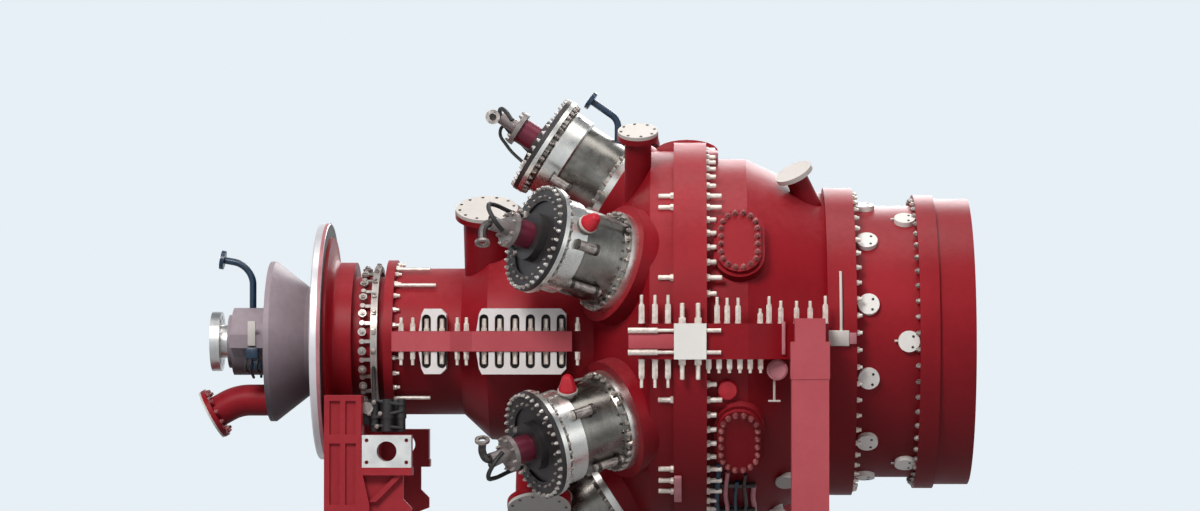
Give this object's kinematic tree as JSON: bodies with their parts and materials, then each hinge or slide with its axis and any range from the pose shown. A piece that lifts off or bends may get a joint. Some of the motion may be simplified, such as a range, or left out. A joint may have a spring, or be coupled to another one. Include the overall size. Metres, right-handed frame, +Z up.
{
  "type": "gas turbine",
  "caption": "Heavy-duty industrial gas turbine with split painted casings, angled combustor cans, annular intake and exhaust, standing on support legs.",
  "frame": {"origin": "centre of the bounding box's footprint, on the floor under the feet", "axes": "+X along the shaft line from the intake to the exhaust, +Z up, +Y to the left seen along the flow"},
  "size_m": [4.9076, 2.97, 3.4991],
  "materials": {
    "casing_red": "satin dark-red machine paint",
    "grey_paint": "satin warm-grey paint",
    "white_rim": "turned, bright",
    "white_cover": "satin off-white paint",
    "machined_steel": "turned and ground",
    "bright_flange": "milled, unpainted",
    "bare_can": "unpainted, heat-stained",
    "dark_cover": "dark, satin",
    "navy_paint": "gloss dark blue paint"
  },
  "bodies": {
    "root": {"shaft_coupling": "machined_steel", "bearing_housing": "grey_paint", "cone_cover": "grey_paint", "intake_cone": "grey_paint", "intake_struts": "grey_paint", "bellmouth_ring": "white_rim", "intake_casing": "casing_red", "vane_drum": "casing_red", "guide_vanes": "machined_steel", "vane_levers": "machined_steel", "unison_ring": "machined_steel", "compressor_blades": "machined_steel", "compressor_flange": "casing_red", "compressor_casing_upper": "casing_red", "compressor_casing_lower": "casing_red", "stud_pockets_upper": "bright_flange", "stud_pockets_lower": "bright_flange", "combustor_casing_upper": "casing_red", "combustor_casing_lower": "casing_red", "combustor_can_1": "bare_can", "combustor_can_2": "bare_can", "combustor_can_3": "bare_can", "combustor_can_4": "bare_can", "combustor_can_5": "bare_can", "combustor_can_6": "bare_can", "can_end_covers": "dark_cover", "fuel_nozzles": "machined_steel", "main_flange_front": "casing_red", "main_flange_rear": "casing_red", "key_blocks": "white_cover", "turbine_casing_upper": "casing_red", "turbine_casing_lower": "casing_red", "inspection_covers": "casing_red", "bleed_nozzles": "casing_red", "blanking_covers": "white_cover", "rear_nozzle": "casing_red", "exhaust_joint_flange": "casing_red", "turbine_blades": "machined_steel", "exhaust_casing": "casing_red", "port_covers": "white_cover", "exhaust_flange": "casing_red", "exhaust_mouth": "casing_red", "exhaust_hub": "grey_paint", "rear_leg_left": "casing_red", "rear_leg_right": "casing_red", "casing_lugs": "casing_red", "front_leg_left": "casing_red", "front_leg_right": "casing_red", "front_cradle": "casing_red", "support_plate_left": "bright_flange", "support_plate_right": "bright_flange", "vent_pipe": "navy_paint", "top_pipe": "navy_paint", "drain_duct": "casing_red"}
  },
  "joints": []
}
